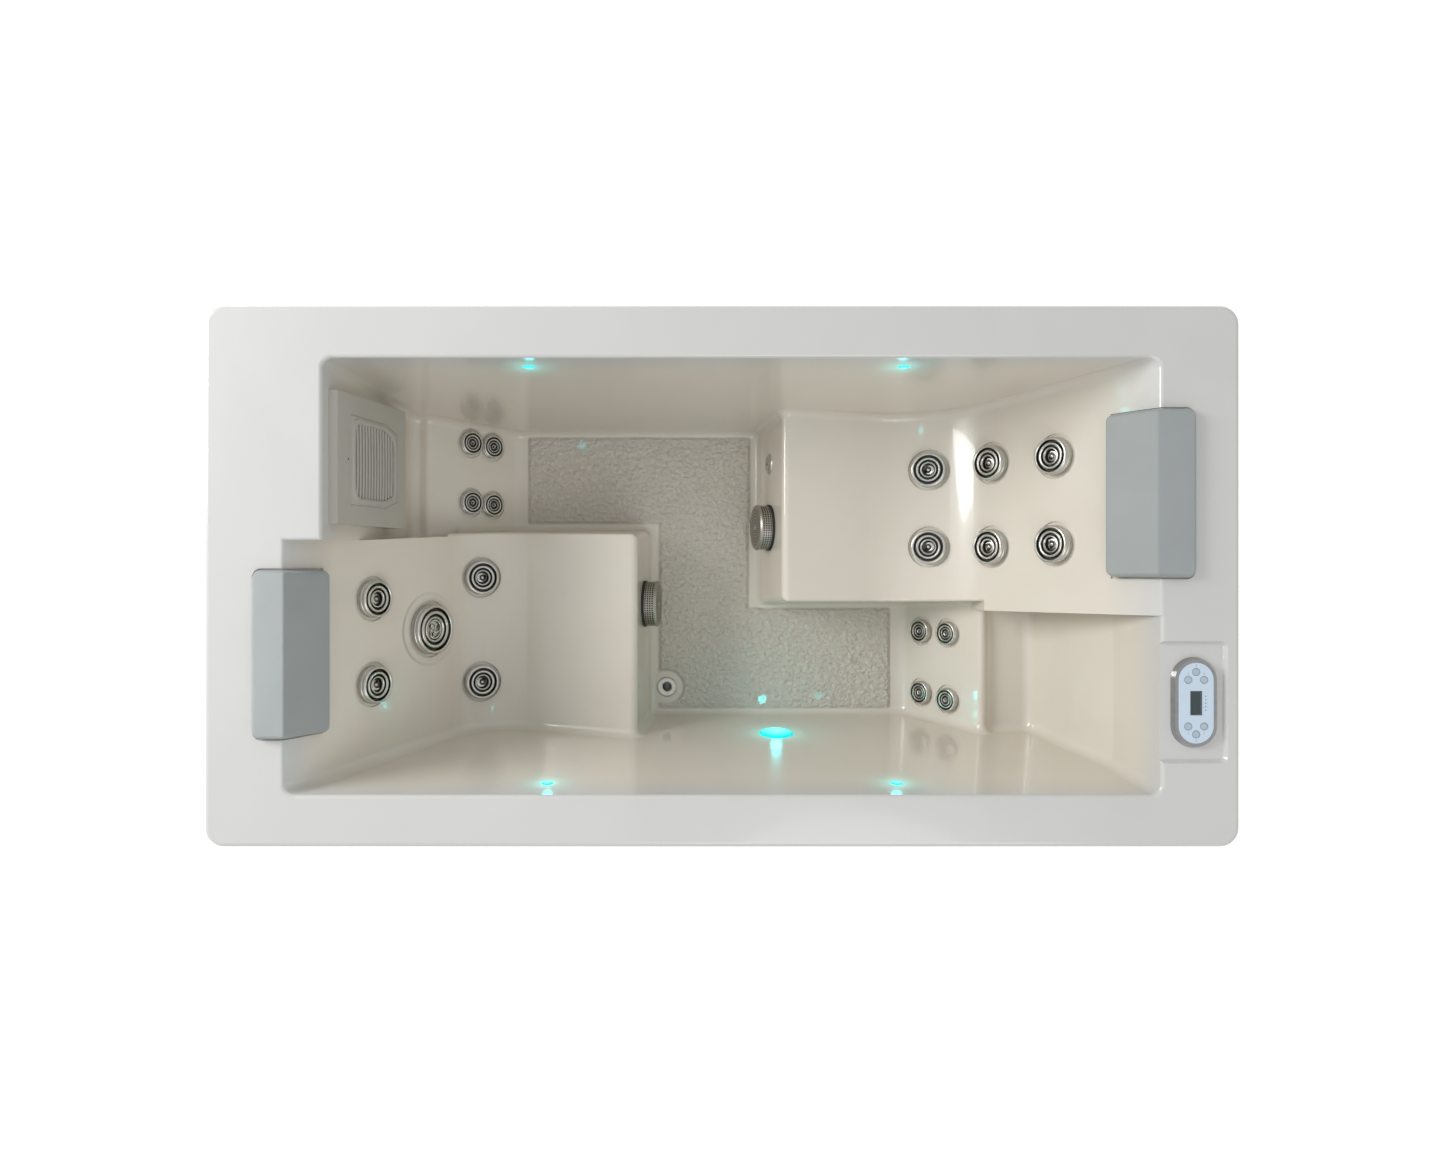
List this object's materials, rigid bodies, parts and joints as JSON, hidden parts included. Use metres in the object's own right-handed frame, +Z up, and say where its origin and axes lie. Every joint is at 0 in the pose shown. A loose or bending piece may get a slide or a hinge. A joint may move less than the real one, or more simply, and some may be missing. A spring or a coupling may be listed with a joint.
{
  "type": "hot tub",
  "caption": "Rectangular two-person hot tub with two facing lounges, hydrotherapy jets, pillows, filter, control panel and cabinet.",
  "frame": {"origin": "on the floor under the middle of the tub", "axes": "+X along the tub's length, +Y across it, +Z up"},
  "size_m": [2.1, 1.1, 0.8257],
  "materials": {
    "acrylic": "gloss",
    "tray_plastic": "matte",
    "frame_steel": "satin",
    "trim_plastic": "satin",
    "skirt_plastic": "satin",
    "foam_block": "matte",
    "pipe_plastic": "satin",
    "seal_rubber": "matte",
    "jet_chrome": "polished",
    "cover_steel": "brushed",
    "lamp_lens": "gloss",
    "filter_plastic": "satin",
    "filter_paper": "matte",
    "panel_plastic": "satin",
    "display_plastic": "gloss",
    "button_plastic": "satin",
    "pillow_skin": "matte",
    "pump_plastic": "matte",
    "motor_paint": "satin",
    "box_plastic": "matte"
  },
  "bodies": {
    "tub": {"backrest_jet_bodies": "pipe_plastic", "base_pan": "tray_plastic", "basin_supports": "foam_block", "control_box": "box_plastic", "corner_posts": "trim_plastic", "drain_fitting": "jet_chrome", "drain_line": "pipe_plastic", "filter_cartridge": "filter_paper", "filter_face": "filter_plastic", "filter_housing": "pipe_plastic", "foot_jet_bodies": "pipe_plastic", "heater": "cover_steel", "jet_gaskets": "seal_rubber", "lamp_bodies": "pipe_plastic", "lamp_lenses": "lamp_lens", "left_pillow": "pillow_skin", "panel_base": "jet_chrome", "panel_display": "display_plastic", "panel_face": "panel_plastic", "pipework": "pipe_plastic", "pump_motor": "motor_paint", "pump_wet_end": "pump_plastic", "return_fitting": "jet_chrome", "right_pillow": "pillow_skin", "skirt_back": "skirt_plastic", "skirt_front": "skirt_plastic", "skirt_left": "skirt_plastic", "skirt_right": "skirt_plastic", "steel_frame": "frame_steel", "suction_bodies": "pipe_plastic", "suction_covers": "cover_steel", "tub_shell": "acrylic"},
    "right_jet_1a": {"right_jet_1a": "jet_chrome"},
    "right_jet_1b": {"right_jet_1b": "jet_chrome"},
    "right_jet_2a": {"right_jet_2a": "jet_chrome"},
    "right_jet_2b": {"right_jet_2b": "jet_chrome"},
    "right_jet_3a": {"right_jet_3a": "jet_chrome"},
    "right_jet_3b": {"right_jet_3b": "jet_chrome"},
    "left_jet_1a": {"left_jet_1a": "jet_chrome"},
    "left_jet_1b": {"left_jet_1b": "jet_chrome"},
    "left_jet_2a": {"left_jet_2a": "jet_chrome"},
    "left_jet_2b": {"left_jet_2b": "jet_chrome"},
    "whirl_jet_face": {"whirl_jet_face": "jet_chrome"},
    "whirl_jet_rotor": {"whirl_jet_rotor": "jet_chrome"},
    "left_foot_jet_1a": {"left_foot_jet_1a": "jet_chrome"},
    "left_foot_jet_1b": {"left_foot_jet_1b": "jet_chrome"},
    "left_foot_jet_2a": {"left_foot_jet_2a": "jet_chrome"},
    "left_foot_jet_2b": {"left_foot_jet_2b": "jet_chrome"},
    "right_foot_jet_1a": {"right_foot_jet_1a": "jet_chrome"},
    "right_foot_jet_1b": {"right_foot_jet_1b": "jet_chrome"},
    "right_foot_jet_2a": {"right_foot_jet_2a": "jet_chrome"},
    "right_foot_jet_2b": {"right_foot_jet_2b": "jet_chrome"},
    "panel_button_1": {"panel_button_1": "button_plastic"},
    "panel_button_2": {"panel_button_2": "button_plastic"},
    "panel_button_3": {"panel_button_3": "button_plastic"},
    "panel_button_4": {"panel_button_4": "button_plastic"},
    "panel_button_5": {"panel_button_5": "button_plastic"},
    "panel_button_6": {"panel_button_6": "button_plastic"},
    "filter_grille": {"filter_grille": "filter_plastic"},
    "pump_impeller": {"pump_impeller": "pump_plastic"}
  },
  "joints": [
    {"name": "right_jet_1a_turn", "type": "hinge", "parent": "tub", "child": "right_jet_1a", "pos_m": [0.75635, 0.265, 0.58998], "axis": [-0.8368, 0, 0.5476], "range_deg": [0, 110]},
    {"name": "right_jet_1b_turn", "type": "hinge", "parent": "tub", "child": "right_jet_1b", "pos_m": [0.75635, 0.069, 0.58998], "axis": [-0.8368, 0, 0.5476], "range_deg": [0, 110]},
    {"name": "right_jet_2a_turn", "type": "hinge", "parent": "tub", "child": "right_jet_2a", "pos_m": [0.66128, 0.264, 0.44492], "axis": [-0.8203, 0, 0.572], "range_deg": [0, 110]},
    {"name": "right_jet_2b_turn", "type": "hinge", "parent": "tub", "child": "right_jet_2b", "pos_m": [0.66128, 0.065, 0.44492], "axis": [-0.8203, 0, 0.572], "range_deg": [0, 110]},
    {"name": "right_jet_3a_turn", "type": "hinge", "parent": "tub", "child": "right_jet_3a", "pos_m": [0.53439, 0.256, 0.34665], "axis": [-0.3486, 0, 0.9373], "range_deg": [0, 110]},
    {"name": "right_jet_3b_turn", "type": "hinge", "parent": "tub", "child": "right_jet_3b", "pos_m": [0.53439, 0.066, 0.34665], "axis": [-0.3486, 0, 0.9373], "range_deg": [0, 110]},
    {"name": "left_jet_1a_turn", "type": "hinge", "parent": "tub", "child": "left_jet_1a", "pos_m": [-0.77346, -0.053, 0.59189], "axis": [0.866, 0, 0.5], "range_deg": [0, 110]},
    {"name": "left_jet_1b_turn", "type": "hinge", "parent": "tub", "child": "left_jet_1b", "pos_m": [-0.77346, -0.244, 0.59189], "axis": [0.866, 0, 0.5], "range_deg": [0, 110]},
    {"name": "left_jet_2a_turn", "type": "hinge", "parent": "tub", "child": "left_jet_2a", "pos_m": [-0.58593, -0.01, 0.31133], "axis": [0.4833, 0, 0.8754], "range_deg": [0, 110]},
    {"name": "left_jet_2b_turn", "type": "hinge", "parent": "tub", "child": "left_jet_2b", "pos_m": [-0.58593, -0.271, 0.31133], "axis": [0.4833, 0, 0.8754], "range_deg": [0, 110]},
    {"name": "whirl_jet_face_turn", "type": "hinge", "parent": "tub", "child": "whirl_jet_face", "pos_m": [-0.68446, -0.131, 0.43773], "axis": [0.866, 0, 0.5], "range_deg": [0, 110]},
    {"name": "whirl_jet_spin", "type": "hinge", "parent": "whirl_jet_face", "child": "whirl_jet_rotor", "pos_m": [-0.68446, -0.131, 0.43773], "axis": [0.866, 0, 0.5], "continuous": true},
    {"name": "left_foot_jet_1a_turn", "type": "hinge", "parent": "tub", "child": "left_foot_jet_1a", "pos_m": [-0.62665, 0.335, 0.24276], "axis": [0.6634, 0, 0.7483], "range_deg": [0, 110]},
    {"name": "left_foot_jet_1b_turn", "type": "hinge", "parent": "tub", "child": "left_foot_jet_1b", "pos_m": [-0.62665, 0.182, 0.24276], "axis": [0.6634, 0, 0.7483], "range_deg": [0, 110]},
    {"name": "left_foot_jet_2a_turn", "type": "hinge", "parent": "tub", "child": "left_foot_jet_2a", "pos_m": [-0.57965, 0.33, 0.20109], "axis": [0.6634, 0, 0.7483], "range_deg": [0, 110]},
    {"name": "left_foot_jet_2b_turn", "type": "hinge", "parent": "tub", "child": "left_foot_jet_2b", "pos_m": [-0.57965, 0.178, 0.20109], "axis": [0.6634, 0, 0.7483], "range_deg": [0, 110]},
    {"name": "right_foot_jet_1a_turn", "type": "hinge", "parent": "tub", "child": "right_foot_jet_1a", "pos_m": [0.60518, -0.153, 0.26735], "axis": [-0.7962, 0, 0.605], "range_deg": [0, 110]},
    {"name": "right_foot_jet_1b_turn", "type": "hinge", "parent": "tub", "child": "right_foot_jet_1b", "pos_m": [0.60518, -0.323, 0.26735], "axis": [-0.7962, 0, 0.605], "range_deg": [0, 110]},
    {"name": "right_foot_jet_2a_turn", "type": "hinge", "parent": "tub", "child": "right_foot_jet_2a", "pos_m": [0.55419, -0.152, 0.20022], "axis": [-0.7962, 0, 0.605], "range_deg": [0, 110]},
    {"name": "right_foot_jet_2b_turn", "type": "hinge", "parent": "tub", "child": "right_foot_jet_2b", "pos_m": [0.55419, -0.313, 0.20022], "axis": [-0.7962, 0, 0.605], "range_deg": [0, 110]},
    {"name": "panel_button_1_press", "type": "slide", "parent": "tub", "child": "panel_button_1", "axis": [0, 0, -1], "range_m": [0, 0.0008], "stiffness_N_per_m": 700},
    {"name": "panel_button_2_press", "type": "slide", "parent": "tub", "child": "panel_button_2", "axis": [0, 0, -1], "range_m": [0, 0.0008], "stiffness_N_per_m": 700},
    {"name": "panel_button_3_press", "type": "slide", "parent": "tub", "child": "panel_button_3", "axis": [0, 0, -1], "range_m": [0, 0.0008], "stiffness_N_per_m": 700},
    {"name": "panel_button_4_press", "type": "slide", "parent": "tub", "child": "panel_button_4", "axis": [0, 0, -1], "range_m": [0, 0.0008], "stiffness_N_per_m": 700},
    {"name": "panel_button_5_press", "type": "slide", "parent": "tub", "child": "panel_button_5", "axis": [0, 0, -1], "range_m": [0, 0.0008], "stiffness_N_per_m": 700},
    {"name": "panel_button_6_press", "type": "slide", "parent": "tub", "child": "panel_button_6", "axis": [0, 0, -1], "range_m": [0, 0.0008], "stiffness_N_per_m": 700},
    {"name": "filter_grille_pull", "type": "slide", "parent": "tub", "child": "filter_grille", "axis": [0.9832, 0, 0.1827], "range_m": [0, 0.06]},
    {"name": "pump_spin", "type": "hinge", "parent": "tub", "child": "pump_impeller", "pos_m": [0.55555, 0.248, 0.15], "axis": [1, 0, 0], "continuous": true}
  ]
}
